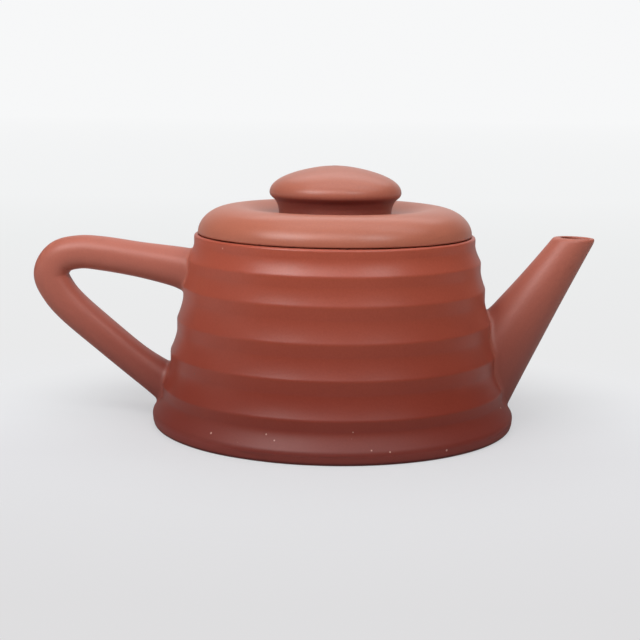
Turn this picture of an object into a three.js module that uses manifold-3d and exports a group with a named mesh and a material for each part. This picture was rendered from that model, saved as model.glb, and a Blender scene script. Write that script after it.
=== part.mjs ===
import * as THREE from "three";
import { mergeVertices } from "three/addons/utils/BufferGeometryUtils.js";
import Module from "manifold-3d";

// A round teapot of unglazed red clay, in millimetres, with +Z up. The origin is the middle of
// the flat foot, on the table. The spout points along +X and the handle along -X. Ten clay
// pieces are luted into two bodies: the pot, and the lid that lifts off it.

const wasm = await Module();
wasm.setup();

// Joins: clay that meets on a curved face keeps this much clear, flat faces touch
const jointGap = 0.3;
const cutOverrun = 6;

// Base and terraced wall
const footRadius = 50;
const rimRadius = 38.5;
const rimHeight = 52;
const baseThickness = 2.4;
const baseEdgeBevel = 0.4;
const footEdgeRise = 0.8;
const wallThickness = 3.2;
const rimRounding = 1;

// Each terrace hangs over the next one down in a crisp lip. A lip's height is a share of the
// wall's height, and its spread is a share of how far the foot stands out past the rim.
const lipHeightShares = [0.151, 0.345, 0.527, 0.713, 0.863];
const lipSpreadShares = [0.757, 0.57, 0.409, 0.261, 0.143];
const uprightShare = 0.35;
const flareStepShares = [1, 0.75, 0.5, 0.25, 0];
const flareHollow = 1.5;

// Ring that closes the shoulder round the mouth, let into the top of the wall
const rimWidth = 1.6;
const shoulderWidth = 6.1;
const shoulderThickness = 2.2;

// Spout, a straight cone cut off level with the rim, and the hole in the wall behind it
const spoutRootHeight = 19;
const spoutRootRadius = 9.6;
const spoutTipReach = 66.7;
const spoutLipDrop = 0.15;
const spoutTipRadius = 4.9;
const spoutLipRounding = 2.2;
const spoutLipTilt = THREE.MathUtils.degToRad(2.4);
const spoutRootWall = 2.8;
const spoutTipWall = 1.45;
const spoutHoleRadius = 6.2;

// Domed strainer over that hole, inside the pot
const strainerMargin = 2;
const strainerThickness = 1.5;
const strainerHoleRadius = 0.9;
const strainerRowAngles = [0, 29, 58].map(THREE.MathUtils.degToRad);
const strainerRowCounts = [1, 6, 12];

// Handle: a round bar whose middle line leaves the wall high up, turns back and comes in low.
// Each point of that line is [share of the reach, share of the climb], and each thickness
// share belongs to the point in the same place.
const handleReach = 37.1;
const handleLowHeight = 9.9;
const handleHighHeight = 46;
const handleThickness = 9.35;
const handleWidth = 10;
const handleLineShares = [
  [-0.137, 0.856], [0.088, 0.898], [0.369, 0.95], [0.648, 0.992], [0.825, 1], [0.953, 0.958],
  [1, 0.842], [0.933, 0.709], [0.776, 0.565], [0.459, 0.335], [0.213, 0.16], [-0.02, 0.016],
  [-0.194, -0.08],
];
const handleThicknessShares = [1.5, 1.18, 1.04, 1.01, 0.98, 1.01, 1.02, 1, 0.99, 0.97, 0.98, 1.12, 1.4];

// Lid: a raised ring that falls to a moat round the knob, and the flange that hangs in the mouth
const lidInset = 1;
const lidThickness = 3;
const ridgeWidth = 9.8;
const ridgeRise = 7.6;
const moatDepth = 2.4;
const moatFloorWidth = 1.5;
const moatStepShares = [0.25, 0.5, 0.75, 1];
const lidClearance = 0.5;
const flangeThickness = 2.6;
const flangeDepth = 7.5;
const flangeBevel = 0.65;
const flangeTopShares = [1, 0.5, 0];
const steamHoleRadius = 1.6;

// Knob: a hollow neck under a hollow cap. Each point of the flank under the cap's edge is
// [share of the height from moat to edge, share of the overhang past the neck].
const knobRadius = 18.15;
const knobNeckRadius = 15.4;
const knobNeckWall = 3.2;
const knobFlankHeight = 6.1;
const knobCrownRise = 7.4;
const knobCapThickness = 3.2;
const knobRoundness = 1.4;
const knobFlatness = 0.87;
const ventRadius = 1.1;
const neckFlankShares = [[0, 0], [0.34, 0.06], [0.53, 0.2]];
const capFlankShares = [[0.53, 0.2], [0.7, 0.44], [0.79, 0.7], [0.9, 0.93], [1, 1]];

// How finely round things are cut
const turnSides = 48;
const knobSides = 32;
const spoutSides = 24;
const barSides = 16;
const strainerSides = 16;
const smallHoleSides = 6;
const handleSteps = 30;
const quarterSteps = 6;
const spoutLipSteps = 3;

// Heights and radii that follow from the sizes above
const footEdgeHeight = baseThickness + footEdgeRise;
const lidRadius = rimRadius - lidInset;
const ridgeRadius = lidRadius - ridgeWidth;
const ridgeHeight = rimHeight + ridgeRise;
const moatHeight = ridgeHeight - moatDepth;
const moatRadius = knobNeckRadius + moatFloorWidth;
const shoulderOuterRadius = rimRadius - rimWidth - jointGap;
const mouthRadius = shoulderOuterRadius - shoulderWidth;
const shoulderHeight = rimHeight - shoulderThickness;
const knobEdgeHeight = moatHeight + knobFlankHeight;
const knobTopHeight = knobEdgeHeight + knobCrownRise;
const neckBoreRadius = knobNeckRadius - knobNeckWall;

const clay = { color: 0x9a4d3c, roughness: 0.55, metalness: 0 };
const insideClay = { color: 0x8a4536, roughness: 0.8, metalness: 0 };

// Solids: closed surfaces that can be joined and cut
function solidFrom(geometry) {
  geometry.deleteAttribute("normal");
  geometry.deleteAttribute("uv");
  const merged = mergeVertices(geometry);
  const mesh = new wasm.Mesh({
    numProp: 3,
    vertProperties: merged.attributes.position.array,
    triVerts: new Uint32Array(merged.index.array),
  });
  return new wasm.Manifold(mesh);
}

function geometryFrom(solid) {
  const mesh = solid.getMesh();
  const geometry = new THREE.BufferGeometry();
  geometry.setAttribute("position", new THREE.BufferAttribute(mesh.vertProperties, 3));
  geometry.setIndex(new THREE.BufferAttribute(mesh.triVerts, 1));
  geometry.computeVertexNormals();
  return geometry;
}

// A profile of [radius, height] points, turned about the pot's axis or about a ray from a point
function turned(profile, sides = turnSides) {
  const points = profile.map(([radius, height]) => new THREE.Vector2(radius, height));
  return solidFrom(new THREE.LatheGeometry(points, sides).rotateX(Math.PI / 2));
}

function turnedRing(profile, sides = turnSides) {
  return turned([...profile, profile[0]], sides);
}

function turnedAlong(profile, sides, start, direction) {
  const points = profile.map(([radius, along]) => new THREE.Vector2(radius, along));
  const geometry = new THREE.LatheGeometry(points, sides);
  const upright = new THREE.Vector3(0, 1, 0);
  geometry.applyQuaternion(new THREE.Quaternion().setFromUnitVectors(upright, direction));
  geometry.translate(start.x, start.y, start.z);
  return solidFrom(geometry);
}

// Skin over a row of rings that all have the same number of points, closed at both ends
function lofted(rings) {
  const sides = rings[0].length;
  const ends = [rings[0], rings[rings.length - 1]].map(middleOf);
  const corners = [...rings.flat(), ...ends];
  const index = [];
  rings.slice(1).forEach((_, row) => {
    for (let side = 0; side < sides; side += 1) {
      const next = (side + 1) % sides;
      const [a, b] = [row * sides + side, row * sides + next];
      index.push(a, b, b + sides, a, b + sides, a + sides);
    }
  });
  const [first, last] = [corners.length - 2, corners.length - 1];
  const lastRow = (rings.length - 1) * sides;
  for (let side = 0; side < sides; side += 1) {
    const next = (side + 1) % sides;
    index.push(first, next, side, last, lastRow + side, lastRow + next);
  }
  const geometry = new THREE.BufferGeometry().setFromPoints(corners);
  geometry.setIndex(index);
  return solidFrom(geometry);
}

function middleOf(points) {
  const sum = points.reduce((total, point) => total.add(point), new THREE.Vector3());
  return sum.divideScalar(points.length);
}

// The wall's levels from the bottom up: the foot's edge, the five lips and the rim
function terraceLevels() {
  const climb = rimHeight - footEdgeHeight;
  const spread = footRadius - rimRadius;
  const lips = lipHeightShares.map((share, lip) => ({
    height: footEdgeHeight + share * climb,
    radius: rimRadius + lipSpreadShares[lip] * spread,
  }));
  const foot = { height: footEdgeHeight, radius: footRadius };
  return [foot, ...lips, { height: rimHeight, radius: rimRadius }];
}

// One terrace, from its foot on the lip below up to its own lip: a hollow flare, then upright
function terraceProfile(below, above) {
  const flareHeight = (above.height - below.height) * (1 - uprightShare);
  const flare = flareStepShares.map((share) => [
    above.radius + (below.radius - above.radius) * share ** flareHollow,
    below.height + flareHeight * (1 - share),
  ]);
  return [...flare, [above.radius, above.height]];
}

function wallOutline(outset = 0) {
  const levels = terraceLevels();
  const points = levels.slice(1).flatMap((above, i) => terraceProfile(levels[i], above).slice(0, -1));
  return points.map(([radius, height]) => [radius + outset, height]);
}

function wallRadiusAt(height) {
  const outline = [...wallOutline(), [rimRadius, rimHeight]];
  const i = outline.findIndex(([, top]) => top >= height);
  const [[r0, z0], [r1, z1]] = [outline[i - 1], outline[i]];
  return THREE.MathUtils.mapLinear(height, z0, z1, r0, r1);
}

// The straight cone between foot and rim, which the handle keeps its distance from
function coneRadiusAt(height) {
  return THREE.MathUtils.mapLinear(height, baseThickness, rimHeight, footRadius, rimRadius);
}

// The smooth inside of the wall, straight from the lowest lip to the rim
function chamberRadiusAt(height) {
  const lowest = terraceLevels()[1];
  const low = lowest.radius - wallThickness;
  const high = rimRadius - wallThickness;
  return THREE.MathUtils.mapLinear(height, lowest.height, rimHeight, low, high);
}

// The whole outside of the pot, a joint's gap larger and carried on down below the table. Spout
// and handle are trimmed to it.
function potEnvelope() {
  return turned([
    [0, -footRadius],
    [footRadius + jointGap, -footRadius],
    [footRadius + jointGap, footEdgeHeight],
    ...wallOutline(jointGap).slice(1),
    [rimRadius + jointGap, rimHeight + jointGap],
    [0, rimHeight + jointGap],
  ]);
}

function baseDisc() {
  return turned([
    [0, 0],
    [footRadius - baseEdgeBevel, 0],
    [footRadius, baseEdgeBevel],
    [footRadius, baseThickness],
    [0, baseThickness],
  ]);
}

function bodyWall() {
  const rimSeatRadius = rimRadius - rimWidth;
  const shell = turnedRing([
    [footRadius, baseThickness],
    ...wallOutline(),
    [rimRadius, rimHeight - rimRounding],
    [rimRadius - rimRounding * (1 - Math.SQRT1_2), rimHeight - rimRounding * (1 - Math.SQRT1_2)],
    [rimRadius - rimRounding, rimHeight],
    [rimSeatRadius, rimHeight],
    [rimSeatRadius, shoulderHeight],
    [chamberRadiusAt(shoulderHeight), shoulderHeight],
    [chamberRadiusAt(baseThickness), baseThickness],
  ]);
  return shell.subtract(spoutHole());
}

// The round hole through the wall, straight out along +X
function spoutHole() {
  const start = new THREE.Vector3(0, 0, spoutRootHeight);
  const length = footRadius + cutOverrun;
  const profile = [[0, 0], [spoutHoleRadius, 0], [spoutHoleRadius, length], [0, length]];
  return turnedAlong(profile, spoutSides, start, new THREE.Vector3(1, 0, 0));
}

function shoulderRing() {
  return turnedRing([
    [mouthRadius, shoulderHeight],
    [shoulderOuterRadius, shoulderHeight],
    [shoulderOuterRadius, rimHeight],
    [mouthRadius, rimHeight],
  ]);
}

// The spout's middle line, from the wall's outside to the tip
function spoutLine() {
  const root = new THREE.Vector3(wallRadiusAt(spoutRootHeight), 0, spoutRootHeight);
  const tip = new THREE.Vector3(spoutTipReach, 0, rimHeight - spoutLipDrop);
  const direction = tip.clone().sub(root).normalize();
  return { root, tip, direction, length: root.distanceTo(tip) };
}

function spout() {
  const { tip, direction, length } = spoutLine();
  const inward = length + spoutRootRadius + cutOverrun;
  const taperTo = (atTip, atRoot, along) => atTip + ((atRoot - atTip) * -along) / length;
  const roundStart = spoutTipRadius - spoutLipRounding;
  const lip = quarterRound(spoutLipRounding, spoutLipSteps).map(([out, along]) => [roundStart + out, along]);
  const profile = [
    [0, -inward],
    [taperTo(spoutTipRadius, spoutRootRadius, -inward), -inward],
    ...lip,
    [0, spoutLipRounding],
  ];
  const outside = turnedAlong(profile, spoutSides, tip, direction);
  return outside.subtract(spoutBore()).subtract(aboveSpoutLip()).subtract(potEnvelope());
}

// The tapering bore, a little longer than the spout at both ends
function spoutBore() {
  const { tip, direction, length } = spoutLine();
  const tipBore = spoutTipRadius - spoutTipWall;
  const rootBore = spoutRootRadius - spoutRootWall;
  const slope = (rootBore - tipBore) / length;
  const inward = length + spoutRootRadius + cutOverrun;
  const profile = [
    [0, -inward],
    [tipBore + slope * inward, -inward],
    [tipBore - slope * cutOverrun, cutOverrun],
    [0, cutOverrun],
  ];
  return turnedAlong(profile, spoutSides, tip, direction);
}

// Everything above the spout's lip, which slopes a little outward
function aboveSpoutLip() {
  const { tip } = spoutLine();
  const block = new THREE.BoxGeometry(footRadius, footRadius, footRadius);
  block.translate(0, 0, footRadius / 2);
  block.rotateY(spoutLipTilt);
  block.translate(tip.x, 0, tip.z);
  return solidFrom(block);
}

// The inside of the pot, a joint's gap smaller, which the strainer is trimmed to
function chamber() {
  const floor = baseThickness + jointGap;
  return turned([
    [0, floor],
    [chamberRadiusAt(floor) - jointGap, floor],
    [chamberRadiusAt(shoulderHeight) - jointGap, shoulderHeight],
    [0, shoulderHeight],
  ]);
}

// A thimble with its round end towards the tea, open towards the spout, and full of small holes
function strainer() {
  const radius = spoutHoleRadius + strainerMargin;
  const centre = new THREE.Vector3(chamberRadiusAt(spoutRootHeight + radius), 0, spoutRootHeight);
  const towardsTea = new THREE.Vector3(-1, 0, 0);
  const skirt = radius;
  const thimble = (size, back) => turnedAlong(
    [[0, -back], [size, -back], ...quarterRound(size)], strainerSides, centre, towardsTea,
  );
  let dome = thimble(radius, skirt).subtract(thimble(radius - strainerThickness, skirt * 2));
  strainerHoleDirections().forEach((direction) => {
    const profile = [[0, 0], [strainerHoleRadius, 0], [strainerHoleRadius, radius * 2], [0, radius * 2]];
    dome = dome.subtract(turnedAlong(profile, smallHoleSides, centre, direction));
  });
  return dome.intersect(chamber());
}

function quarterRound(size, steps = quarterSteps) {
  return Array.from({ length: steps + 1 }, (_, step) => {
    const angle = (step / steps) * (Math.PI / 2);
    return [size * Math.cos(angle), size * Math.sin(angle)];
  });
}

// Rows of holes round the thimble's tip, each row leaning further from the spout's hole
function strainerHoleDirections() {
  return strainerRowAngles.flatMap((lean, row) => {
    const count = strainerRowCounts[row];
    return Array.from({ length: count }, (_, i) => {
      const turn = (i / count) * 2 * Math.PI;
      const side = Math.sin(lean);
      return new THREE.Vector3(-Math.cos(lean), side * Math.cos(turn), side * Math.sin(turn));
    });
  });
}

function handle() {
  const climb = handleHighHeight - handleLowHeight;
  const line = new THREE.CatmullRomCurve3(handleLineShares.map(([out, up]) => {
    const height = handleLowHeight + up * climb;
    return new THREE.Vector3(-(coneRadiusAt(height) + out * handleReach), 0, height);
  }), false, "centripetal");
  const rings = Array.from({ length: handleSteps + 1 }, (_, step) => {
    const share = step / handleSteps;
    const forward = line.getTangent(share);
    const across = new THREE.Vector3(-forward.z, 0, forward.x);
    const scale = handleScaleAt(share) / 2;
    return barRing(line.getPoint(share), across, handleThickness * scale, handleWidth * scale);
  });
  return lofted(rings).subtract(potEnvelope());
}

// The thickness shares are spread evenly over the handle's points
function handleScaleAt(share) {
  const place = share * (handleThicknessShares.length - 1);
  const i = Math.min(Math.floor(place), handleThicknessShares.length - 2);
  return THREE.MathUtils.lerp(handleThicknessShares[i], handleThicknessShares[i + 1], place - i);
}

function barRing(centre, across, depth, width) {
  return Array.from({ length: barSides }, (_, side) => {
    const angle = (side / barSides) * 2 * Math.PI;
    const point = centre.clone().addScaledVector(across, depth * Math.cos(angle));
    point.y -= width * Math.sin(angle);
    return point;
  });
}

// The lid's top between the moat and the ridge, a smooth rise
function lidTopAt(radius) {
  const share = THREE.MathUtils.clamp((ridgeRadius - radius) / (ridgeRadius - moatRadius), 0, 1);
  return moatHeight + (moatDepth * (1 + Math.cos(Math.PI * share))) / 2;
}

// The lid's hollow underside, which the flange is let up to
function lidUndersideAt(radius) {
  if (radius <= ridgeRadius) {
    return lidTopAt(radius) - lidThickness;
  }
  const share = Math.min((radius - ridgeRadius) / (ridgeWidth - lidThickness), 1);
  return rimHeight + (ridgeRise - lidThickness) * Math.sqrt(1 - share ** 2);
}

// The lid's shoulder from its edge up to the ridge, a quarter of an ellipse
function lidShoulder(width, rise) {
  return quarterRound(1).map(([out, up]) => [ridgeRadius + width * out, rimHeight + rise * up]);
}

function lidShell() {
  const hollow = lidShoulder(ridgeWidth - lidThickness, ridgeRise - lidThickness);
  const moatRadii = moatStepShares.map((share) => ridgeRadius - (ridgeRadius - moatRadius) * share);
  return turnedRing([
    ...lidShoulder(ridgeWidth, ridgeRise),
    ...moatRadii.map((radius) => [radius, lidTopAt(radius)]),
    [steamHoleRadius, moatHeight],
    [steamHoleRadius, moatHeight - lidThickness],
    ...moatRadii.reverse().map((radius) => [radius, lidUndersideAt(radius)]),
    ...hollow.reverse(),
  ]);
}

function lidFlange() {
  const outer = mouthRadius - lidClearance;
  const inner = outer - flangeThickness;
  const bottom = rimHeight - flangeDepth;
  const top = flangeTopShares.map((share) => {
    const radius = inner + flangeThickness * share;
    return [radius, lidUndersideAt(radius) - jointGap];
  });
  const foot = [[inner, bottom], [outer - flangeBevel, bottom], [outer, bottom + flangeBevel]];
  return turnedRing([...foot, ...top]);
}

function flankPoint([heightShare, overhangShare]) {
  const radius = knobNeckRadius + (knobRadius - knobNeckRadius) * overhangShare;
  return [radius, moatHeight + knobFlankHeight * heightShare];
}

function knobCollar() {
  const outside = neckFlankShares.map(flankPoint);
  const top = outside[outside.length - 1][1];
  return turnedRing([[neckBoreRadius, moatHeight], ...outside, [neckBoreRadius, top]], knobSides);
}

// A dome of the knob's form, from its edge in to the vent
function knobDome(radius, bottom, top) {
  const last = Math.acos((ventRadius / radius) ** (1 / knobRoundness));
  return Array.from({ length: quarterSteps + 1 }, (_, step) => {
    const angle = (step / quarterSteps) * last;
    const rise = (top - bottom) * Math.sin(angle) ** knobFlatness;
    return [radius * Math.cos(angle) ** knobRoundness, bottom + rise];
  });
}

function knobCap() {
  const flank = capFlankShares.map(flankPoint);
  const crown = knobDome(knobRadius, knobEdgeHeight, knobTopHeight);
  const hollow = knobDome(neckBoreRadius, flank[0][1], knobTopHeight - knobCapThickness);
  return turnedRing([...flank, ...crown.slice(1), ...hollow.reverse()], knobSides);
}

const pieces = {
  base_disc: [baseDisc, clay],
  body_wall: [bodyWall, clay],
  shoulder_ring: [shoulderRing, clay],
  spout: [spout, clay],
  strainer: [strainer, insideClay],
  handle: [handle, clay],
  lid_shell: [lidShell, clay],
  lid_flange: [lidFlange, insideClay],
  knob_collar: [knobCollar, clay],
  knob_cap: [knobCap, clay],
};

const group = new THREE.Group();
Object.entries(pieces).forEach(([name, [make, finish]]) => {
  const mesh = new THREE.Mesh(geometryFrom(make()), new THREE.MeshStandardMaterial(finish));
  mesh.name = name;
  group.add(mesh);
});

export default group;
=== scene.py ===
import math

import bmesh
import bpy
from mathutils import Matrix, Vector, noise


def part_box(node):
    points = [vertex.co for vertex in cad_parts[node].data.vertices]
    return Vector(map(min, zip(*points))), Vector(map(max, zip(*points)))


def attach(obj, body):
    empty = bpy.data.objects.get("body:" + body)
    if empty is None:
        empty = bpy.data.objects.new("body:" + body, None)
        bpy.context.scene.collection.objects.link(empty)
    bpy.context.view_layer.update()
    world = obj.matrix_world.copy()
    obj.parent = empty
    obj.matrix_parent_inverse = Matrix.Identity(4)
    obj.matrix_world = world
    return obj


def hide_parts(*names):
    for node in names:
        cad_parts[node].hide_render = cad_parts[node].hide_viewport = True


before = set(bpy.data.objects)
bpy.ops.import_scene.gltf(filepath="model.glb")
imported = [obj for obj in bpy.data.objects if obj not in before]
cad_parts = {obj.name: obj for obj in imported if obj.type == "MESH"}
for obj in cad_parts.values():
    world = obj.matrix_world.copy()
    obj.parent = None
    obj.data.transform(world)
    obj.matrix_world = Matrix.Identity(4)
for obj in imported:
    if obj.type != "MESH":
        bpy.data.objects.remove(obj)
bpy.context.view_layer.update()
print("frame loaded:", len(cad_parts), "solids")

# Shapes are worked out in millimetres and turned into metres as they become meshes
mm = 0.001
tiny = 1e-6
upright = Vector((0, 0, 1))
sideways = Vector((0, 1, 0))


def boxOf(node):
    low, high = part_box(node)
    return low / mm, high / mm


def addObject(name, data):
    thing = bpy.data.objects.new(name, data)
    bpy.context.scene.collection.objects.link(thing)
    return thing


def anglesOf(sides):
    return [2 * math.pi * side / sides for side in range(sides)]


# Camera, at the place and tilt that the photograph was taken from
cameraView = {
    "frameSize": 640,        # pixels along each side of the picture
    "focalLength": 1332.3,   # in those pixels
    "sensorWidth": 36,
    "distance": 364.8,       # in front of the pot's middle
    "height": 89.7,          # above the table
    "pitch": 9.61,           # degrees down
    "yaw": 0.59,             # degrees to the left
    "roll": 0.74,            # degrees, the picture's right side up
}


def makeCamera():
    view = cameraView
    data = bpy.data.cameras.new("camera")
    data.sensor_width = view["sensorWidth"]
    data.lens = view["focalLength"] * view["sensorWidth"] / view["frameSize"]
    pitch, yaw, roll = (math.radians(view[turn]) for turn in ("pitch", "yaw", "roll"))
    level = Vector((-math.sin(yaw), math.cos(yaw), 0))
    right = Vector((math.cos(yaw), math.sin(yaw), 0))
    ahead = level * math.cos(pitch) - upright * math.sin(pitch)
    above = level * math.sin(pitch) + upright * math.cos(pitch)
    across = right * math.cos(roll) + above * math.sin(roll)
    rising = above * math.cos(roll) - right * math.sin(roll)
    turned = Matrix((across, rising, -ahead)).transposed()
    place = Vector((0, -view["distance"], view["height"])) * mm
    camera = addObject("camera", data)
    camera.matrix_world = Matrix.Translation(place) @ turned.to_4x4()
    bpy.context.scene.camera = camera


makeCamera()
print("camera placed")

# Materials: one clay, burnished outside and left matte inside. Heights are in mm above the table.
wallClay = {
    "name": "burnished_clay",
    "slot": "red_clay",
    "light": (0.545, 0.116, 0.067, 1),      # where the burnishing brought the fines up
    "dark": (0.49, 0.1, 0.056, 1),
    "cloudScale": 26,                       # patches to the metre
    "cloudDetail": 4,
    "cloudRange": (0.2, 0.8),               # of the patches' noise, over which roughness varies
    "grainScale": 1900,
    "grainDetail": 3,
    "grainDepth": 0.012 * mm,
    "blendRange": (0.7, 1.3),               # of patches and grain together, from dark to light
    "dentScale": 130,                       # the soft unevenness of hand burnishing
    "dentDetail": 2,
    "dentDepth": 0.05 * mm,
    # What is left of the colour at some heights: painted shade, darker towards the foot, and a
    # painted contact shadow at the very bottom
    "paintedShadeByHeight": ((0.5, (0.12, 0.06, 0.09, 1)), (0.9, (0.57, 0.44, 0.55, 1)),
              (2.2, (0.57, 0.43, 0.54, 1)), (3.4, (0.42, 0.29, 0.32, 1)),
              (10.6, (0.55, 0.4, 0.4, 1)), (52, (1, 1, 1, 1))),
    "paintedCreaseShade": (0.26, 0.035, 0.02, 1),        # painted shade in the creases, where shadow falls
    "paintedCreaseShadeShare": 0.7,
    "creaseSize": 9 * mm,
    "creaseRange": (0.15, 0.65),            # from a deep crease to none
    "creaseSamples": 8,
    "paleSpeck": (0.72, 0.42, 0.34, 1),
    "paleScale": 420,                       # cells to the metre that may hold a grain
    "paleSize": 0.14,                       # of a cell
    "paleShares": ((8, 0.2), (13, 0.002)),  # how many cells do hold one, by height
    "darkSpeck": (0.25, 0.06, 0.04, 1),
    "darkScale": 336,
    "darkSize": 0.13,
    "darkShare": 0.005,
    "roughness": (0.3, 0.42),
    "footDullness": ((6, 0.16), (13, 0)),   # added by height: hands rub the foot less
    "diffuseRoughness": 0.3,
}
# The lid, the knob, the spout and the handle get paler copies of the wall's clay: painted light for
# the stronger light they catch
lidClay = dict(wallClay, name="lid_clay", light=(0.57, 0.184, 0.114, 1), dark=(0.52, 0.162, 0.1, 1),
               paintedShadeByHeight=None, roughness=(0.28, 0.42))
# The knob's crease shade is darker and reaches farther: painted shadow under its dome and round its
# neck
knobClay = dict(lidClay, name="knob_clay", light=(0.55, 0.185, 0.12, 1), dark=(0.5, 0.16, 0.105, 1),
                paintedCreaseShade=(0.12, 0.018, 0.026, 1), paintedCreaseShadeShare=1, creaseSize=14 * mm)
# Painted shade darkens the spout and the handle towards their lower roots, where the upper arm and
# the wall shade them
limbClay = dict(lidClay, name="limb_clay", light=(0.6, 0.185, 0.125, 1),
                dark=(0.55, 0.165, 0.112, 1), roughness=(0.4, 0.5),
                paintedShadeByHeight=((2, (0.5, 0.34, 0.37, 1)), (52, (1, 1, 1, 1))))
innerClay = dict(wallClay, name="inner_clay", slot="inner_clay", light=(0.37, 0.105, 0.062, 1),
                 dark=(0.3, 0.08, 0.046, 1), roughness=(0.68, 0.8), diffuseRoughness=0.6,
                 grainDepth=0.03 * mm, paintedShadeByHeight=None)
speckCore = 0.6  # how much of a grain is solid, inside its soft edge


def addNode(tree, kind, links=None, **values):
    node = tree.nodes.new("ShaderNode" + kind)
    for name, value in values.items():
        setattr(node, name, value)
    for name, source in (links or {}).items():
        socket = node.inputs[name]
        if isinstance(source, bpy.types.NodeSocket):
            tree.links.new(source, socket)
        else:
            socket.default_value = source
    return node


def mapped(tree, value, start, end, first=0, last=1, **kind):
    # The first number up to the start, the last one from the end on, and between them in between
    node = addNode(tree, "MapRange", {"Value": value, "From Min": start, "From Max": end,
                                      "To Min": first, "To Max": last}, **kind)
    return node.outputs["Result"]


def byHeight(tree, height, stops):
    (low, first), (high, last) = stops
    return mapped(tree, height, low * mm, high * mm, first, last)


def reckoned(tree, operation, first, second):
    return addNode(tree, "Math", {0: first, 1: second}, operation=operation).outputs[0]


def mixColours(tree, share, first, second):
    # A Mix node takes its two colours at 6 and 7, and gives the one between them at 2
    mix = addNode(tree, "Mix", {0: share, 6: first, 7: second}, data_type="RGBA")
    return mix.outputs[2]


def ramp(tree, value, stops):
    # A colour that passes through each of the stops as the value grows
    (start, tone), *others = stops
    for end, colour in others:
        tone = mixColours(tree, mapped(tree, value, start, end), tone, colour)
        start = end
    return tone


def specks(tree, place, scale, size, share):
    # Round grains at random places, few of them: 1 inside a grain and 0 elsewhere
    cells = addNode(tree, "TexVoronoi", {"Vector": place, "Scale": scale})
    near = mapped(tree, cells.outputs["Distance"], size * speckCore, size, 1, 0)
    draw = addNode(tree, "SeparateColor", {"Color": cells.outputs["Color"]})
    return reckoned(tree, "MULTIPLY", near, reckoned(tree, "LESS_THAN", draw.outputs["Red"], share))


def clayMaterial(clay):
    material = bpy.data.materials.new(clay["name"])
    material.use_nodes = True
    tree = material.node_tree
    shader = tree.nodes["Principled BSDF"]
    place = addNode(tree, "TexCoord").outputs["Object"]
    height = addNode(tree, "SeparateXYZ", {"Vector": place}).outputs["Z"]
    cloud, grain, dents = (
        addNode(tree, "TexNoise", {"Vector": place, "Scale": clay[kind + "Scale"],
                                   "Detail": clay[kind + "Detail"]}).outputs["Fac"]
        for kind in ("cloud", "grain", "dent"))

    blend = mapped(tree, reckoned(tree, "ADD", cloud, grain), *clay["blendRange"])
    colour = mixColours(tree, blend, clay["dark"], clay["light"])
    # Painted shade by height: darker towards the foot, with a painted contact shadow at the bottom
    if clay["paintedShadeByHeight"]:
        paintedShade = ramp(tree, height, [(level * mm, tone) for level, tone in clay["paintedShadeByHeight"]])
        paintedShadeNode = addNode(tree, "VectorMath", {0: colour, 1: paintedShade}, operation="MULTIPLY")
        colour = paintedShadeNode.outputs["Vector"]
    # Painted shade: the colour darkens in creases and undercuts, found by ambient occlusion
    crease = addNode(tree, "AmbientOcclusion", {"Distance": clay["creaseSize"]},
                     samples=clay["creaseSamples"])
    creaseShadeMask = mapped(tree, crease.outputs["AO"], *clay["creaseRange"], clay["paintedCreaseShadeShare"], 0)
    colour = mixColours(tree, creaseShadeMask, colour, clay["paintedCreaseShade"])
    paleShare = byHeight(tree, height, clay["paleShares"])
    pale = specks(tree, place, clay["paleScale"], clay["paleSize"], paleShare)
    dark = specks(tree, place, clay["darkScale"], clay["darkSize"], clay["darkShare"])
    colour = mixColours(tree, pale, colour, clay["paleSpeck"])
    colour = mixColours(tree, dark, colour, clay["darkSpeck"])
    tree.links.new(colour, shader.inputs["Base Color"])

    rough = mapped(tree, cloud, *clay["cloudRange"], *clay["roughness"])
    dull = byHeight(tree, height, clay["footDullness"])
    tree.links.new(reckoned(tree, "ADD", rough, dull), shader.inputs["Roughness"])
    shader.inputs["Diffuse Roughness"].default_value = clay["diffuseRoughness"]

    soft = addNode(tree, "Bump", {"Height": dents, "Distance": clay["dentDepth"]})
    fine = addNode(tree, "Bump", {"Height": grain, "Distance": clay["grainDepth"],
                                  "Normal": soft.outputs["Normal"]})
    tree.links.new(fine.outputs["Normal"], shader.inputs["Normal"])
    return material


clays = (wallClay, lidClay, knobClay, limbClay, innerClay)
materials = {clay["name"]: clayMaterial(clay) for clay in clays}
print("materials made:", ", ".join(materials))

# Meshes. A shape is a list of points and a list of faces.
handwork = {
    "turnedSides": 256,
    "roundingSteps": 5,
    "waveScale": 70,         # how closely the hand's unevenness follows on itself
    "waveDepth": 0.05,
    "waveBias": 0.3,         # keeps it mostly inside the true form
}


def solidMesh(name, shape):
    points, faces = shape
    mesh = bpy.data.meshes.new(name)
    mesh.from_pydata([Vector(point) * mm for point in points], [], faces)
    form = bmesh.new()
    form.from_mesh(mesh)
    bmesh.ops.recalc_face_normals(form, faces=form.faces)
    form.to_mesh(mesh)
    form.free()
    return mesh


def addPiece(name, shape, body, clay, *nodes):
    mesh = solidMesh(name, shape)
    mesh.shade_smooth()
    mesh.materials.append(materials[clay["name"]])
    moves = []
    for vertex in mesh.vertices:  # nothing made by hand is quite true
        wave = noise.noise(vertex.co * handwork["waveScale"]) - handwork["waveBias"]
        moves.append(vertex.normal * wave * handwork["waveDepth"] * mm)
    for vertex, move in zip(mesh.vertices, moves):
        vertex.co += move
        vertex.co.z = max(vertex.co.z, 0)
    piece = addObject(name, mesh)
    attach(piece, body)
    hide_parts(*nodes)
    return piece


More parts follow.
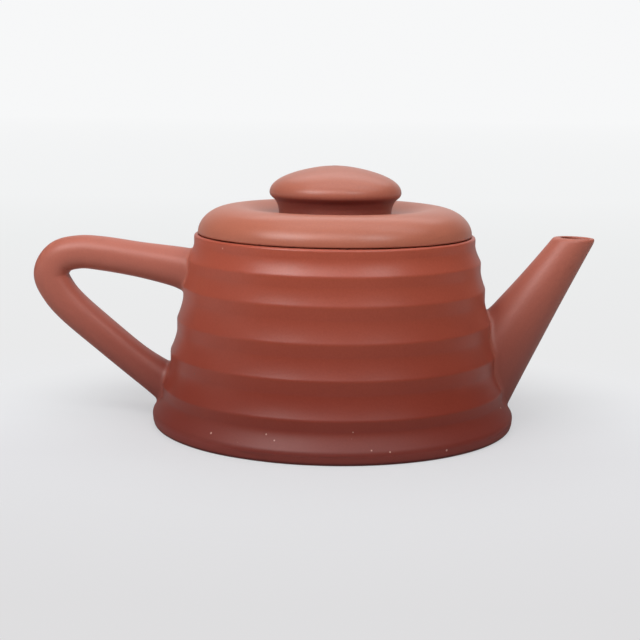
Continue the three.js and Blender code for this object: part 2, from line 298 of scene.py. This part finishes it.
def cutOut(piece, cutters):
    # Cuts shapes out of a piece for good, and takes the cutters away
    for shape in cutters:
        cutter = addObject("cutter", solidMesh("cutter", shape))
        modifier = piece.modifiers.new("cut", "BOOLEAN")
        modifier.operation = "DIFFERENCE"
        modifier.solver = "MANIFOLD"
        modifier.object = cutter
        bpy.context.view_layer.update()
        whole = piece.evaluated_get(bpy.context.evaluated_depsgraph_get())
        cut = bpy.data.meshes.new_from_object(whole)
        piece.modifiers.clear()
        piece.data = cut
        bpy.data.objects.remove(cutter)


def bend(start, corner, end, steps=handwork["roundingSteps"]):
    # A smooth bend from start to end that heads for the corner at first
    shares = [step / steps for step in range(steps + 1)]
    return [start * (1 - t) ** 2 + corner * (2 * t * (1 - t)) + end * t ** 2 for t in shares]


def walkedFrom(points, i, way, distance):
    # The place that far along the profile from one of its points, and the point after it
    here = points[i]
    while True:
        i += way
        ahead = points[i % len(points)]
        gap = (ahead - here).length
        if gap > distance:
            return here.lerp(ahead, distance / gap), i
        here, distance = ahead, distance - gap


def softened(profile):
    # A point of a profile may have a third number, how far its corner is rounded off
    points = [Vector(point[:2]) for point in profile]
    kept, rounded = set(range(len(points))), {}
    for i, point in enumerate(profile):
        if len(point) == 2:
            continue
        start, before = walkedFrom(points, i, -1, point[2])
        end, after = walkedFrom(points, i, 1, point[2])
        kept -= set(range(before + 1, after))
        rounded[i] = bend(start, points[i], end)
    result = []
    for i, point in enumerate(points):
        result += rounded.get(i, [point] if i in kept else [])
    return [tuple(point) for point in result]


def ringFaces(rows):
    # Faces between each row of point numbers and the next. A row of one number is a tip.
    faces = []
    for low, high in zip(rows, rows[1:]):
        sides = len(low)
        for side in range(sides):
            after = (side + 1) % sides
            corners = [low[side], low[after], high[after], high[side]]
            faces.append(list(dict.fromkeys(corners)))
    return faces


def turnedShape(profile, sides=handwork["turnedSides"]):
    # A profile of (radius, height) points, turned about the pot's axis
    points, rows = [], []
    for radius, height in profile:
        if radius < tiny:
            rows.append([len(points)] * sides)
            points.append((0, 0, height))
            continue
        rows.append(range(len(points), len(points) + sides))
        points += [(radius * math.cos(a), radius * math.sin(a), height) for a in anglesOf(sides)]
    return points, ringFaces(rows)


def turnedRing(profile, sides=handwork["turnedSides"]):
    # The same for a profile that comes back to its start
    points, faces = turnedShape(profile, sides)
    last = len(profile) - 1
    closing = ringFaces([range(last * sides, last * sides + sides), range(sides)])
    return points, faces + closing


def gridShape(rings, closed=False, tips=None):
    # Skin over a row of rings: joined end to end when closed, capped at both ends otherwise
    sides = len(rings[0])
    points = [point for ring in rings for point in ring]
    rows = [range(i * sides, (i + 1) * sides) for i in range(len(rings))]
    if closed:
        return points, ringFaces(rows + [rows[0]])
    tips = tips or [sum(ring, Vector()) / sides for ring in (rings[0], rings[-1])]
    first, last = [len(points)] * sides, [len(points) + 1] * sides
    return points + tips, ringFaces([first, *rows, last])


def rodShape(start, direction, radius, length, sides):
    across = direction.orthogonal().normalized()
    other = direction.cross(across)
    rings = []
    for along in (0, length):
        centre = start + direction * along
        rings.append([centre + (across * math.cos(a) + other * math.sin(a)) * radius
                      for a in anglesOf(sides)])
    return gridShape(rings)


def smoothCurve(points, steps):
    # Through every point, with steps to each stretch between two
    result = []
    ends = [points[0] * 2 - points[1], *points, points[-1] * 2 - points[-2]]
    for before, start, end, after in zip(ends, ends[1:], ends[2:], ends[3:]):
        for step in range(steps):
            t = step / steps
            result.append((start * 2 + (end - before) * t
                           + (before * 2 - start * 5 + end * 4 - after) * t ** 2
                           + (start * 3 - before - end * 3 + after) * t ** 3) / 2)
    return [*result, points[-1]]


# The wall: six terraces, each with a crisp lip over a hollow flare
wallLow, wallHigh = boxOf("body_wall")
ringLow, ringHigh = boxOf("shoulder_ring")
lidHigh = boxOf("lid_shell")[1]
wall = {
    "lipHeightShares": (0.151, 0.345, 0.527, 0.713, 0.863),  # of the height, foot edge to rim
    "lipSpreadShares": (0.757, 0.57, 0.409, 0.261, 0.143),   # of the foot's spread past the rim
    "uprightShare": 0.35,    # of each terrace, below its lip
    "hollow": 1.5,
    "flareSteps": 14,
    "footEdge": 0.8,         # above the base disc
    "footRounding": 0.72,
    "seamEdge": 0.06,        # keeps the shading of the hidden joint with the base off the outside
    "lipRounding": 0.45,
    "rimOverLid": 1.0,       # the rim stands out past the lid
    "rimRounding": 0.8,
    "thickness": 3.2,
    "holeRadius": 6.2,       # behind the spout
    "holeHeight": 19,
    "holeSides": 48,
}
rimHeight = wallHigh.z
footRadius = wallHigh.x
footEdgeHeight = wallLow.z + wall["footEdge"]
rimRadius = lidHigh.x + wall["rimOverLid"]


def wallLevels():
    climb, spread = rimHeight - footEdgeHeight, footRadius - rimRadius
    shares = zip(wall["lipHeightShares"], wall["lipSpreadShares"])
    lips = [(rimRadius + out * spread, footEdgeHeight + up * climb) for up, out in shares]
    return [(footRadius, footEdgeHeight), *lips, (rimRadius, rimHeight)]


def terrace(below, above):
    # From just over the lip below up to the terrace's own lip
    flareHeight = (above[1] - below[1]) * (1 - wall["uprightShare"])
    steps = wall["flareSteps"]
    flare = []
    for step in range(1, steps + 1):
        share = 1 - step / steps
        radius = above[0] + (below[0] - above[0]) * share ** wall["hollow"]
        flare.append((radius, below[1] + flareHeight * (1 - share)))
    return [*flare, (above[0], above[1], wall["lipRounding"])]


def wallOutside():
    levels = wallLevels()
    curve = [(footRadius, wallLow.z), (footRadius, wallLow.z + wall["seamEdge"]),
             (*levels[0], wall["footRounding"])]
    for below, above in zip(levels, levels[1:]):
        curve += terrace(below, above)
    rim = [(rimRadius, rimHeight, wall["rimRounding"]), (ringHigh.x, rimHeight)]
    return softened([*curve[:-1], *rim])


def chamberRadius(height):
    low, high = wallLevels()[1], (rimRadius, rimHeight)
    share = (height - low[1]) / (high[1] - low[1])
    return low[0] + (high[0] - low[0]) * share - wall["thickness"]


wallCurve = wallOutside()


def wallRadius(height):
    for (r0, z0), (r1, z1) in zip(wallCurve, wallCurve[1:]):
        if z0 <= height <= z1 and z1 > z0:
            return r0 + (r1 - r0) * (height - z0) / (z1 - z0)
    return footRadius if height < wallLow.z else rimRadius


def makeWall():
    inside = [(ringHigh.x, ringLow.z), (chamberRadius(ringLow.z), ringLow.z),
              (chamberRadius(wallLow.z), wallLow.z)]
    piece = addPiece("pot_wall", turnedRing(wallCurve + inside), "pot", wallClay, "body_wall")
    hole = rodShape(Vector((0, 0, wall["holeHeight"])), Vector((1, 0, 0)), wall["holeRadius"],
                    footRadius + wall["thickness"], wall["holeSides"])
    cutOut(piece, [hole])


makeWall()
print("pot wall made")

# Base: the slab that the pot stands on, drawn in a little towards the table
base = {
    "lean": 0.12,            # how far its edge is in, part of the way down
    "leanHeight": 1.1,
    "toe": 0.45,             # and at the table
    "toeRounding": 0.45,
}


def makeBase():
    top = boxOf("base_disc")[1].z
    edge = [(footRadius, top), (footRadius, top - wall["seamEdge"]),
            (footRadius - base["lean"], base["leanHeight"]),
            (footRadius - base["toe"], 0, base["toeRounding"]), (0, 0)]
    addPiece("pot_base", turnedShape([(0, top), *softened(edge)]), "pot", wallClay, "base_disc")


makeBase()
print("base made")

# Shoulder: the ring that closes the top of the wall and leaves the mouth
shoulder = {
    "mouthRadius": 30.5,
    "topRounding": 0.6,
    "underRounding": 0.3,
}


def makeShoulder():
    inner, outer, low, high = shoulder["mouthRadius"], ringHigh.x, ringLow.z, ringHigh.z
    profile = softened([(outer, low), (outer, high), (inner, high, shoulder["topRounding"]),
                        (inner, low, shoulder["underRounding"])])
    addPiece("shoulder", turnedRing(profile), "pot", innerClay, "shoulder_ring")


makeShoulder()
print("shoulder made")

# Lid: a raised ring round a moat
lid = {
    "ridgeWidth": 9.8,
    "moatDepth": 2.4,
    "moatRadius": 16.9,
    "thickness": 3,
    "seam": 0.28,            # the fine open line between lid and rim
    "seamDepth": 1.3,
    "seamLip": (0.15, 0.05),  # how far in and how far down the lid's edge turns into it
    "holeRadius": 1.6,       # for steam, under the knob
    "holeRounding": 0.3,
    "curveSteps": 28,
    "slopeSteps": 16,
}
ridgeRadius = lidHigh.x - lid["ridgeWidth"]
ridgeHeight = lidHigh.z
moatHeight = ridgeHeight - lid["moatDepth"]


def lidShoulder(width, rise, bottom):
    steps = lid["curveSteps"]
    angles = [math.pi / 2 * step / steps for step in range(steps + 1)]
    return [(ridgeRadius + width * math.cos(a), bottom + rise * math.sin(a)) for a in angles]


def lidSlope(lower):
    # The inner side of the raised ring, from the ridge down to the moat
    steps = lid["slopeSteps"]
    slope = []
    for step in range(1, steps + 1):
        share = step / steps
        radius = ridgeRadius + (lid["moatRadius"] - ridgeRadius) * share
        rise = lid["moatDepth"] * (1 + math.cos(math.pi * share)) / 2
        slope.append((radius, moatHeight + rise - lower))
    return slope


def makeLid():
    thin, hole, rounding = lid["thickness"], lid["holeRadius"], lid["holeRounding"]
    lipIn, lipDown = lid["seamLip"]
    bottom = rimHeight + lid["seam"]
    outside = lidShoulder(lid["ridgeWidth"], ridgeHeight - bottom, bottom)
    top = [*lidSlope(0), (hole, moatHeight, rounding)]
    inside = lidShoulder(lid["ridgeWidth"] - thin, ridgeHeight - rimHeight - thin, rimHeight)
    under = [(hole, moatHeight - thin, rounding), *reversed(lidSlope(thin)), *reversed(inside)]
    seam = [(lidHigh.x - lid["seamDepth"], rimHeight), (lidHigh.x - lipIn, bottom - lipDown)]
    profile = softened([*outside, *top, *under, *seam])
    addPiece("lid_top", turnedRing(profile), "lid", lidClay, "lid_shell")


makeLid()
print("lid made")

# Flange: the ring under the lid that hangs in the mouth
flange = {
    "width": 2.6,
    "innerRounding": 0.5,
    "outerRounding": 0.7,
    "rootRise": 0.6,         # its inner side runs up into the lid
}


def makeFlange():
    low, high = boxOf("lid_flange")
    outer, inner = high.x, high.x - flange["width"]
    profile = softened([(inner, low.z, flange["innerRounding"]),
                        (outer, low.z, flange["outerRounding"]),
                        (outer, high.z), (inner, high.z + flange["rootRise"])])
    addPiece("lid_ring", turnedRing(profile), "lid", innerClay, "lid_flange")


makeFlange()
print("flange made")

# Knob: a waisted neck under a broad dome, hollow, with a vent in its top
knobHigh = boxOf("knob_cap")[1]
knob = {
    "neckRadius": 15.4,
    "neckFillet": 0.7,
    "inset": 0.12,           # what the rounding takes off the edge
    "edgeHeight": 6.0,       # the widest place, above the moat
    # Up the flank, in shares of that height and of the reach past the neck
    "overhangShares": ((0, 0), (0.2, 0.02), (0.38, 0.09), (0.53, 0.22), (0.68, 0.42), (0.78, 0.66),
                       (0.89, 0.9), (1, 1)),
    "flankSteps": 4,
    "roundness": 1.4,        # how early the dome turns in
    "flatness": 0.87,        # how fast it rises at first
    "domeSteps": 48,
    "crownRadius": 5.5,
    "crownDrop": 0.13,       # what the rounding takes off the top
    "ventRadius": 1.1,
    "hollowRadius": 12.2,
    "hollowRise": 3,         # its straight part, above the moat
    "domeThickness": 3.2,
}


def knobDome(radius, low, high):
    end = math.acos((knob["ventRadius"] / radius) ** (1 / knob["roundness"]))
    dome = []
    for step in range(knob["domeSteps"] + 1):
        angle = end * step / knob["domeSteps"]
        rise = (high - low) * math.sin(angle) ** knob["flatness"]
        dome.append((radius * math.cos(angle) ** knob["roundness"], low + rise))
    # The crown is rounded over, where the curve alone would come to a blunt point
    first = next(i for i, point in enumerate(dome) if point[0] < knob["crownRadius"])
    (r0, z0), (r1, z1) = dome[first - 1:first + 1]
    slope = (z1 - z0) / (r0 - r1)
    crown = [(r, z1 + slope * (r1 * r1 - r * r) / (2 * r1)) for r, z in dome[first:]]
    return dome[:first] + crown


def makeKnob():
    neck, fillet = knob["neckRadius"], knob["neckFillet"]
    widest, rise = knobHigh.x - knob["inset"], knob["edgeHeight"]
    foot = bend(Vector((neck + fillet, moatHeight)), Vector((neck, moatHeight)),
                Vector((neck, moatHeight + fillet)))
    flank = [Vector((neck + (widest - neck) * out, moatHeight + rise * up))
             for up, out in knob["overhangShares"]]
    outside = [tuple(point) for point in foot]
    outside += [tuple(point) for point in smoothCurve(flank, knob["flankSteps"])
                if point[1] > moatHeight + fillet]
    dome = knobDome(widest, moatHeight + rise, knobHigh.z + knob["crownDrop"])
    hollow = knobDome(knob["hollowRadius"], moatHeight + knob["hollowRise"],
                      knobHigh.z - knob["domeThickness"])
    profile = [*outside, *dome[1:], *reversed(hollow), (knob["hollowRadius"], moatHeight)]
    addPiece("knob", turnedRing(profile), "lid", knobClay, "knob_collar", "knob_cap")


makeKnob()
print("knob made")

# Limbs: the spout and the handle grow out of the wall with a soft fillet at each root
limbs = {
    "filletSteps": 7,
    "sunk": 0.6,             # how deep their ends go into the wall
    "searchSteps": 200,      # to find where a limb meets the wall, and then halvings
    "halvings": 30,
    "nudge": 1e-3,           # of the stretch searched, to see how fast the skin moves
    "creaseReach": 3,        # neighbours on each side that give the crease its direction
}


def clearOfWall(point):
    return math.hypot(point.x, point.y) - wallRadius(point.z)


def ontoWall(point, depth=0):
    share = (wallRadius(point.z) - depth) / math.hypot(point.x, point.y)
    return Vector((point.x * share, point.y * share, point.z))


def meetsWall(surface, angle, outside, inside):
    # How far along the limb its skin runs into the wall
    steps = limbs["searchSteps"]
    free, sunk = outside, inside
    for step in range(1, steps + 1):
        sunk = outside + (inside - outside) * step / steps
        if clearOfWall(surface(sunk, angle)) < 0:
            break
        free = sunk
    for _ in range(limbs["halvings"]):
        middle = (free + sunk) / 2
        if clearOfWall(surface(middle, angle)) < 0:
            sunk = middle
        else:
            free = middle
    return free


def limbRoot(surface, angles, outside, inside, fillet):
    # Where the limb's plain skin starts, and the rings of its fillet from there into the wall
    met = [meetsWall(surface, angle, outside, inside) for angle in angles]
    hits = [surface(along, angle) for along, angle in zip(met, angles)]
    centre = sum(hits, Vector()) / len(hits)
    nudge, reach = (outside - inside) * limbs["nudge"], limbs["creaseReach"]
    starts, edges = [], []
    for i, (along, angle) in enumerate(zip(met, angles)):
        alongLimb, alongWall = fillet(angle)
        speed = (surface(along + nudge, angle) - hits[i]).length
        starts.append(along + nudge * alongLimb / speed)
        crease = hits[(i + reach) % len(hits)] - hits[i - reach]
        normal = Vector((hits[i].x, hits[i].y, 0)).normalized()
        away = crease.cross(normal).normalized()
        away = away if away.dot(hits[i] - centre) > 0 else -away
        edges.append((hits[i] + away * alongWall, away))
    steps, sunk = limbs["filletSteps"], limbs["sunk"]
    bends = [bend(surface(start, angle), hit, ontoWall(edge), steps)
             for start, angle, hit, (edge, away) in zip(starts, angles, hits, edges)]
    rings = [[line[step] for line in bends] for step in range(1, steps + 1)]
    rings.append([ontoWall(edge + away * sunk, sunk) for edge, away in edges])
    return starts, rings


# Spout: a straight cone, cut off level with the rim
spout = {
    "sides": 128,
    "rings": 40,
    "rootHeight": 19,
    "tipReach": 66.27,
    "tipDrop": 0.15,         # the middle of the mouth, under the rim
    "tipRadius": 4.9,
    "rootRadius": 9.6,
    "tipBore": 3.5,
    "rootBore": 6.8,
    "lipTilt": 1.6,          # degrees down, outward
    "lipRounding": (0.8, 2.1),      # on the side towards the pot, and away from it
    "lipShare": 0.6,         # of the lip's width, that a rounding takes at most
    "boreRounding": 0.45,
    "waist": 0.2,            # how far the skin is drawn in half way along
    "fillet": (1.0, 2.0, 4.6),      # along the spout: underneath, at the sides and on top
    "wallFillet": (1.0, 1.7, 0.9),  # along the wall
    "searchFrom": 0.125,     # of the length, back from the tip
    "searchPast": 14,        # beyond the middle of the root
}


def makeSpout():
    root = Vector((wallRadius(spout["rootHeight"]), 0, spout["rootHeight"]))
    tip = Vector((spout["tipReach"], 0, rimHeight - spout["tipDrop"]))
    length = (tip - root).length
    line = (tip - root).normalized()
    over = Vector((-line.z, 0, line.x))
    angles = anglesOf(spout["sides"])

    def coneSurface(atTip, atRoot):
        def surface(along, angle):
            radius = atTip + (atTip - atRoot) * along / length
            outward = sideways * math.cos(angle) + over * math.sin(angle)
            return tip + line * along + outward * radius
        return surface

    skin = coneSurface(spout["tipRadius"], spout["rootRadius"])
    bore = coneSurface(spout["tipBore"], spout["rootBore"])
    tilt = math.radians(spout["lipTilt"])
    facing = Vector((math.sin(tilt), 0, math.cos(tilt)))

    def lipAlong(surface, angle):
        # Where a straight line of the cone passes through the plane of the lip
        low, high = surface(-length, angle), surface(length, angle)
        share = (tip - low).dot(facing) / (high - low).dot(facing)
        return length * (2 * share - 1)

    def lipCorner(surface, angle, rounding, towards):
        # The rounded edge between the lip's flat and a cone's skin, from the skin inward
        along = lipAlong(surface, angle)
        corner = surface(along, angle)
        below = corner + (surface(along - length, angle) - corner).normalized() * rounding
        inward = min(rounding, (towards - corner).length * spout["lipShare"])
        return bend(below, corner, corner + (towards - corner).normalized() * inward)

    def rootFillet(angle):
        rise = math.sin(angle)
        below, beside, above = (max(-rise, 0) ** 2, 1 - rise ** 2, max(rise, 0) ** 2)
        return [below * low + beside * side + above * high
                for low, side, high in (spout["fillet"], spout["wallFillet"])]

    outside, inside = -length * spout["searchFrom"], -length - spout["searchPast"]
    starts, fillet = limbRoot(skin, angles, outside, inside, rootFillet)
    near, far = spout["lipRounding"]
    outer, inner = [], []
    for angle in angles:
        rounding = near + (far - near) * (1 - math.sin(angle)) / 2
        mouth = bore(lipAlong(bore, angle), angle)
        edge = skin(lipAlong(skin, angle), angle)
        outer.append(lipCorner(skin, angle, rounding, mouth))
        inner.append(list(reversed(lipCorner(bore, angle, spout["boreRounding"], edge))))
    rings = list(reversed(fillet))
    for ring in range(spout["rings"]):
        share = ring / spout["rings"]
        sag = 4 * share * (1 - share)
        skinRing = []
        for start, angle, edge in zip(starts, angles, outer):
            outward = sideways * math.cos(angle) + over * math.sin(angle)
            straight = skin(start, angle).lerp(edge[0], share)
            skinRing.append(straight - outward * spout["waist"] * sag)
        rings.append(skinRing)
    for edges in (outer, inner):
        rings += [[edge[step] for edge in edges] for step in range(len(edges[0]))]
    ends = [ontoWall(bore(meetsWall(bore, angle, outside, inside), angle), limbs["sunk"] * 2)
            for angle in angles]
    for ring in range(1, spout["rings"] + 1):
        share = ring / spout["rings"]
        rings.append([edge[-1].lerp(end, share) for edge, end in zip(inner, ends)])
    addPiece("spout_cone", gridShape(rings, closed=True), "pot", limbClay, "spout")


makeSpout()
print("spout made")

# Handle: a rolled bar, bent into a loop with two firm corners
handleLow, handleHigh = boxOf("handle")
handle = {
    "sides": 96,
    "rings": 220,
    "broadness": 10.0 / 9.35,  # its width against its thickness
    "inset": 0.12,           # from the end of its box
    "squareness": 2.25,      # 2 is an ellipse
    # Points of the middle line, in shares of the handle's box, with the bar's thickness there
    "lineShares": ((1.0, 0.793, 12.3), (0.891, 0.82, 11.0), (0.663, 0.858, 9.7),
                   (0.433, 0.891, 9.4), (0.288, 0.898, 9.2), (0.166, 0.865, 9.4),
                   (0.107, 0.771, 9.5), (0.148, 0.667, 9.4), (0.249, 0.553, 9.3),
                   (0.472, 0.37, 9.1), (0.648, 0.233, 9.2), (0.812, 0.122, 10.4),
                   (0.94, 0.04, 12.6)),
    "lineSteps": 24,
    "upperFillet": (0.9, 0.9),  # along the bar, and along the wall
    "lowerFillet": (1.4, 1.2),
    "middle": 0.5,           # of its length, where the search for its roots starts
}


def makeHandle():
    size, end = handleHigh - handleLow, handleLow.x + handle["inset"]
    points = [Vector((end + out * size.x, handleLow.z + up * size.z, thick))
              for out, up, thick in handle["lineShares"]]
    line = smoothCurve(points, handle["lineSteps"])
    last = len(line) - 1
    power = 2 / handle["squareness"]

    def surface(share, angle):
        place = min(max(share, 0), 1) * last
        i = min(int(place), last - 1)
        at = line[i].lerp(line[i + 1], place - i)
        before, after = line[max(i - 1, 0)], line[min(i + 2, last)]
        ahead = (after - before).xy.normalized()
        across = Vector((-ahead.y, 0, ahead.x))
        deep, wide = (math.copysign(abs(part) ** power, part)
                      for part in (math.cos(angle), math.sin(angle)))
        thick = at.z / 2
        broad = thick * handle["broadness"]
        return Vector((at.x, 0, at.y)) + across * deep * thick - sideways * wide * broad

    angles = anglesOf(handle["sides"])
    middle = handle["middle"]
    upper, upperFillet = limbRoot(surface, angles, middle, 0, lambda angle: handle["upperFillet"])
    lower, lowerFillet = limbRoot(surface, angles, middle, 1, lambda angle: handle["lowerFillet"])
    rings = list(reversed(upperFillet))
    for ring in range(handle["rings"] + 1):
        share = ring / handle["rings"]
        rings.append([surface(high + (low - high) * share, angle)
                      for high, low, angle in zip(upper, lower, angles)])
    rings += lowerFillet
    addPiece("handle_loop", gridShape(rings), "pot", limbClay, "handle")


makeHandle()
print("handle made")

# Strainer: a pierced dome inside the wall, behind the spout
strainerLow, strainerHigh = boxOf("strainer")
strainer = {
    "sides": 96,
    "rings": 24,
    "thickness": 1.5,
    "intoWall": 0.5,
    "rows": ((0, 1), (29, 6), (58, 12)),  # degrees from the tip, and how many holes
    "holeRadius": 0.9,
    "holeSides": 24,
    "drillShare": 1.4,       # of the dome's radius, so that the drill comes right through
}


def fromTip(lean, turn):
    # The way out from the strainer's centre that leans so far from its tip
    return Vector((-math.cos(lean), math.sin(lean) * math.cos(turn),
                   math.sin(lean) * math.sin(turn)))


def makeStrainer():
    radius = (strainerHigh.y - strainerLow.y) / 2
    centre = Vector((strainerLow.x + radius, 0, wall["holeHeight"]))
    outer, inner = [], []
    sizes = (radius, radius - strainer["thickness"])
    for size, rings in zip(sizes, (outer, inner)):
        for step in range(strainer["rings"]):
            lean = math.pi / 2 * (step + 1) / strainer["rings"]
            rings.append([centre + fromTip(lean, turn) * size
                          for turn in anglesOf(strainer["sides"])])
        rings.append([Vector((chamberRadius(point.z) + strainer["intoWall"], point.y, point.z))
                      for point in rings[-1]])
    tips = [centre - Vector((size, 0, 0)) for size in sizes]
    dome = gridShape(outer + inner[::-1], tips=tips)
    piece = addPiece("strainer_dome", dome, "pot", innerClay, "strainer")
    reach = radius * strainer["drillShare"]
    ways = [fromTip(math.radians(lean), turn)
            for lean, count in strainer["rows"] for turn in anglesOf(count)]
    cutOut(piece, [rodShape(centre, way, strainer["holeRadius"], reach, strainer["holeSides"])
                   for way in ways])


makeStrainer()
print("strainer made")

# Table, light and background, in metres
studio = {
    "floorSize": 10,
    "paper": (0.76, 0.765, 0.78, 1),
    "paperBounce": (0.6, 0.6, 0.6, 1),       # what the paper gives back to the pot
    "paperMirrored": (0.25, 0.25, 0.25, 1),  # and how dark it is in the pot's gloss
    "fade": (0.05, 0.11),    # from the first to the second the paper turns to an even tone
    "glowNear": 0.56,        # how much of that tone it has close to the pot, under the shadow
    "evenPast": 0.35,        # past here the paper pales to every side as it does towards the back
    # Tones of the paper towards the back, by the distance behind the pot
    "tones": ((-0.14, (0.735, 0.73, 0.74, 1)), (-0.04, (0.775, 0.775, 0.795, 1)),
              (-0.005, (0.82, 0.825, 0.845, 1)), (0.1, (0.82, 0.822, 0.827, 1)),
              (0.45, (0.845, 0.855, 0.857, 1)), (0.8, (0.885, 0.893, 0.897, 1)),
              (4.5, (0.93, 0.935, 0.94, 1))),
    "sky": (0.93, 0.935, 0.94, 1),
    "skyBehind": 0.11,       # how strongly it lights the pot from behind
    "skyAround": 0.02,
    "skyTurn": (0.1, 0.9),   # the directions between which the one passes into the other
    "mirroredFrom": (-0.06, 0.04, 0.42),  # behind the pot's middle on the floor, and how much
    "mirroredAbove": (0.7, 0.99, 0.75),   # and in the sky, by direction
}
# Each lamp is a soft panel: its middle, the place it faces, its width and depth, and its watts.
# One without lighting gives gloss alone, and one that isn't mirrored gives no gloss.
lamps = {
    "overhead": {"place": (0, 0, 0.32), "aim": (0, 0, 0), "size": (0.28, 0.16), "power": 0.18},
    "sheen": {"place": (0, 0, 0.32), "aim": (0, 0, 0), "size": (0.28, 0.16), "power": 0.18,
              "lighting": False},
    "sheenFront": {"place": (-0.06, -0.27, 0.32), "aim": (-0.02, -0.1, 0), "size": (0.24, 0.16),
                   "power": 0.32, "lighting": False},
    "sheenRear": {"place": (0.04, 0.28, 0.32), "aim": (0.04, 0.28, 0), "size": (0.4, 0.14),
                  "power": 0.3, "lighting": False},
    "overheadRear": {"place": (0.04, 0.14, 0.32), "aim": (0.04, 0.14, 0), "size": (0.28, 0.14),
                     "power": 0.07},
    "rearFill": {"place": (0.03, 0.3, 0.14), "aim": (0, 0, 0.03), "size": (0.3, 0.12),
                 "power": 0.2, "mirrored": False},
    "overheadRight": {"place": (0.2, 0, 0.32), "aim": (0.1, 0, 0), "size": (0.12, 0.16),
                      "power": 0.1},
    "left": {"place": (-0.13, -0.13, 0.18), "aim": (0, 0, 0.04), "size": (0.12, 0.08),
             "power": 0.14},
    "leftHigh": {"place": (-0.21, -0.19, 0.32), "aim": (-0.21, -0.19, 0), "size": (0.14, 0.2),
                 "power": 0.22, "lighting": False},
    "leftLow": {"place": (-0.26, -0.06, 0.05), "aim": (-0.05, 0, 0.02), "size": (0.1, 0.06),
                "power": 0.07, "mirrored": False},
    "right": {"place": (0.11, -0.15, 0.19), "aim": (0, 0, 0.04), "size": (0.09, 0.07),
              "power": 0.09},
    "fill": {"place": (0, -0.2, 0.3), "aim": (0, 0, 0.04), "size": (0.3, 0.1), "power": 0.43,
             "mirrored": False},
}


def shownTo(tree, behind, start, end, most):
    # 1 for the rays that see the pale background. Gloss mirrors it where it lies behind the pot:
    # the room in front is dark.
    rays = addNode(tree, "LightPath").outputs
    mirrored = reckoned(tree, "MULTIPLY", rays["Is Glossy Ray"],
                        mapped(tree, behind, start, end, 0, most))
    direct = reckoned(tree, "MAXIMUM", rays["Is Camera Ray"], rays["Is Transmission Ray"])
    return reckoned(tree, "MAXIMUM", direct, mirrored)


def paperMaterial():
    material = bpy.data.materials.new("table")
    material.use_nodes = True
    tree = material.node_tree
    tree.nodes.remove(tree.nodes["Principled BSDF"])
    place = addNode(tree, "TexCoord").outputs["Object"]
    far = addNode(tree, "VectorMath", {0: place}, operation="LENGTH").outputs["Value"]
    behind = addNode(tree, "SeparateXYZ", {"Vector": place}).outputs["Y"]
    beyond = reckoned(tree, "SUBTRACT", far, studio["evenPast"])
    tone = ramp(tree, reckoned(tree, "MAXIMUM", behind, beyond), studio["tones"])
    glow = addNode(tree, "Emission", {"Color": tone})
    rays = addNode(tree, "LightPath").outputs
    shade = mixColours(tree, rays["Is Diffuse Ray"], studio["paperMirrored"], studio["paperBounce"])
    shade = mixColours(tree, rays["Is Camera Ray"], shade, studio["paper"])
    paper = addNode(tree, "BsdfDiffuse", {"Color": shade})
    fade = mapped(tree, far, *studio["fade"], studio["glowNear"], interpolation_type="SMOOTHSTEP")
    share = reckoned(tree, "MULTIPLY", shownTo(tree, behind, *studio["mirroredFrom"]), fade)
    mix = addNode(tree, "MixShader", {0: share, 1: paper.outputs[0], 2: glow.outputs[0]})
    tree.links.new(mix.outputs[0], tree.nodes["Material Output"].inputs["Surface"])
    return material


def makeFloor():
    half = studio["floorSize"] / 2
    corners = [(-half, -half, 0), (half, -half, 0), (half, half, 0), (-half, half, 0)]
    mesh = bpy.data.meshes.new("table")
    mesh.from_pydata(corners, [], [(0, 1, 2, 3)])
    mesh.materials.append(paperMaterial())
    table = addObject("table", mesh)


def makeWorld():
    world = bpy.data.worlds.new("studio")
    bpy.context.scene.world = world
    world.use_nodes = True
    tree = world.node_tree
    place = addNode(tree, "TexCoord").outputs["Generated"]
    behind = addNode(tree, "SeparateXYZ", {"Vector": place}).outputs["Y"]
    around = tree.nodes["Background"]
    around.inputs["Color"].default_value = (1, 1, 1, 1)
    light = mapped(tree, behind, *studio["skyTurn"], studio["skyAround"], studio["skyBehind"])
    tree.links.new(light, around.inputs["Strength"])
    seen = addNode(tree, "Background", {"Color": studio["sky"], "Strength": 1})
    shown = shownTo(tree, behind, *studio["mirroredAbove"])
    mix = addNode(tree, "MixShader", {0: shown, 1: around.outputs[0], 2: seen.outputs[0]})
    tree.links.new(mix.outputs[0], tree.nodes["World Output"].inputs["Surface"])


def makeLamps():
    for name, lamp in lamps.items():
        data = bpy.data.lights.new(name, "AREA")
        data.energy = lamp["power"]
        data.shape = "RECTANGLE"
        data.size, data.size_y = lamp["size"]
        light = addObject(name, data)
        light.location = Vector(lamp["place"])
        ahead = Vector(lamp["aim"]) - light.location
        light.rotation_euler = ahead.to_track_quat("-Z", "Y").to_euler()
        light.visible_camera = False
        light.visible_glossy = lamp.get("mirrored", True)
        light.visible_diffuse = lamp.get("lighting", True)


makeFloor()
makeWorld()
makeLamps()
bpy.context.scene.view_settings.view_transform = "Standard"
print("studio lit")
